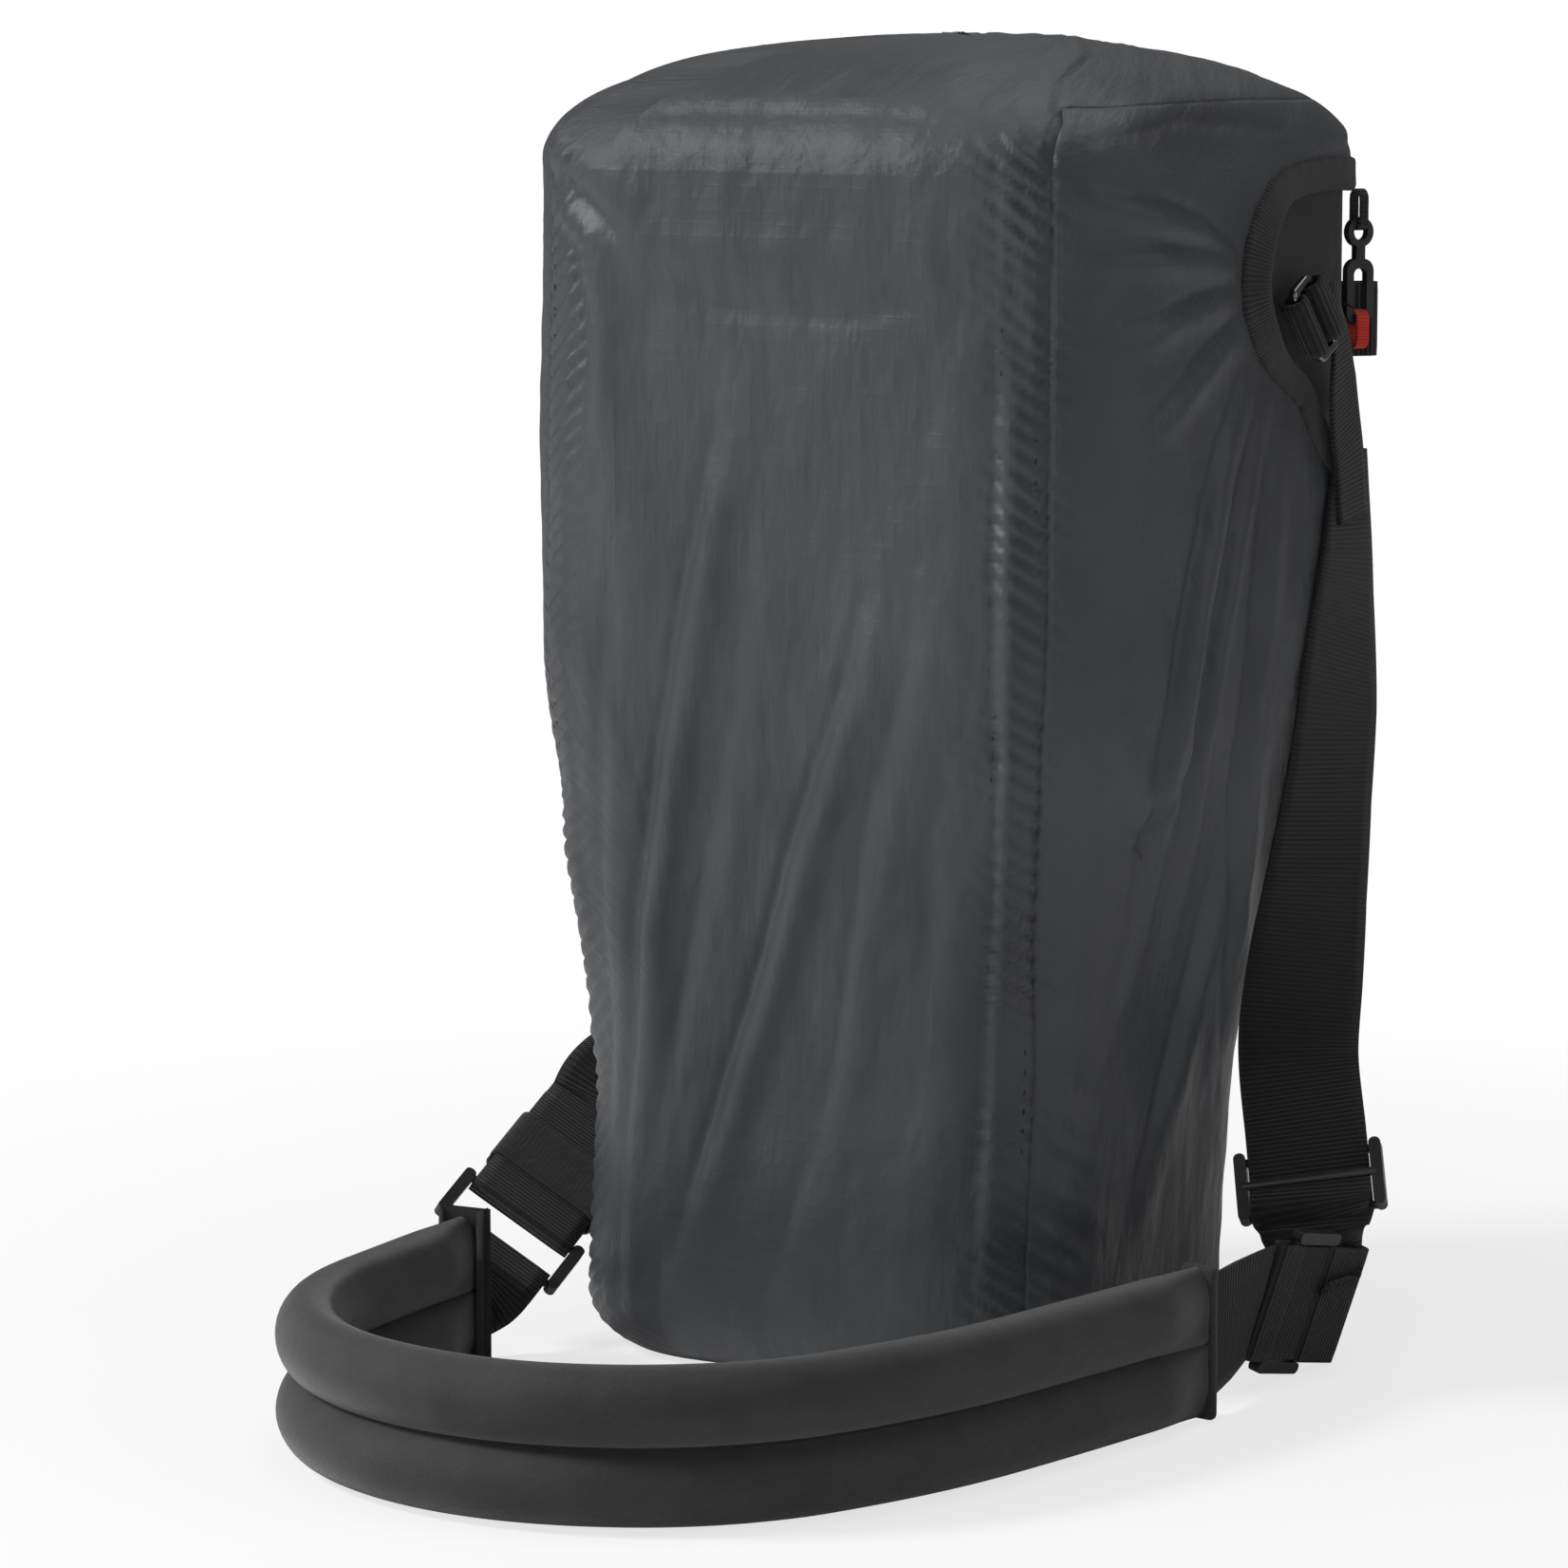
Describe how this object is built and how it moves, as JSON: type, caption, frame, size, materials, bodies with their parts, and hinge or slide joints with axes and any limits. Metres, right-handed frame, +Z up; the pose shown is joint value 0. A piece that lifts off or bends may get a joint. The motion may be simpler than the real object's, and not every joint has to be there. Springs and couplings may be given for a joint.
{
  "type": "rope storage bag",
  "caption": "Tall shoulder-slung bag for storing rope, standing on its base under a fitted weather cover, with a padded sling strap, webbing sliders, snap hook and haul loop.",
  "frame": {"origin": "centre of the bag's base, on the surface that it stands on", "axes": "+Z up, +X to the bag's right (the strap's upper anchor), +Y to its back"},
  "size_m": [0.3708, 0.5127, 0.543],
  "materials": {
    "gunmetal": "dark polished",
    "hardware_plastic": "satin moulded",
    "board_plastic": "plain sheet",
    "foam": "closed-cell foam",
    "neoprene": "smooth knit face",
    "red_tape": "woven tape",
    "coated_fabric": "coated weave",
    "bag_fabric": "plain weave",
    "ripstop": "light sheen ripstop",
    "elastic": "smooth elastic",
    "webbing": "ribbed webbing"
  },
  "bodies": {
    "bag": {"anchor_webbing": "webbing", "back_panel": "bag_fabric", "base_board": "board_plastic", "base_boot": "coated_fabric", "body_shell": "bag_fabric", "cover_binding": "webbing", "cover_front_panel": "ripstop", "cover_left_panel": "ripstop", "cover_right_panel": "ripstop", "cover_top_panel": "ripstop", "haul_loop": "webbing", "hook_tether": "webbing", "left_slider": "hardware_plastic", "lid": "bag_fabric", "lower_strap": "webbing", "pad_core_lower": "foam", "pad_core_upper": "foam", "pad_end_binding_left": "neoprene", "pad_end_binding_right": "neoprene", "pad_sleeve": "neoprene", "pad_stub_left": "webbing", "pad_stub_right": "webbing", "right_slider": "hardware_plastic", "right_strap": "webbing", "strap_lead": "webbing", "strap_return": "webbing"},
    "snap_hook": {"snap_hook": "hardware_plastic", "red_loop": "red_tape"},
    "anchor_ring": {"anchor_ring": "gunmetal"},
    "adjuster": {"right_adjuster": "hardware_plastic"},
    "keeper": {"strap_keeper": "elastic"}
  },
  "joints": [
    {"name": "hook_swing", "type": "hinge", "parent": "bag", "child": "snap_hook", "pos_m": [0.1569, 0.1002, 0.463], "axis": [0.866, -0.5, 0], "range_deg": [-6, 6]},
    {"name": "ring_swing", "type": "hinge", "parent": "bag", "child": "anchor_ring", "pos_m": [0.1614, 0.04377, 0.42681], "axis": [0.2001, 0.446, -0.8724], "range_deg": [-4, 4]},
    {"name": "adjuster_slide", "type": "slide", "parent": "bag", "child": "adjuster", "axis": [-0.3287, 0.4498, 0.8304], "range_m": [0, 0.02], "deforming": ["strap_return"]},
    {"name": "keeper_slide", "type": "slide", "parent": "bag", "child": "keeper", "axis": [-0.075, 0.9157, 0.3949], "range_m": [-0.01, 0.012]}
  ]
}
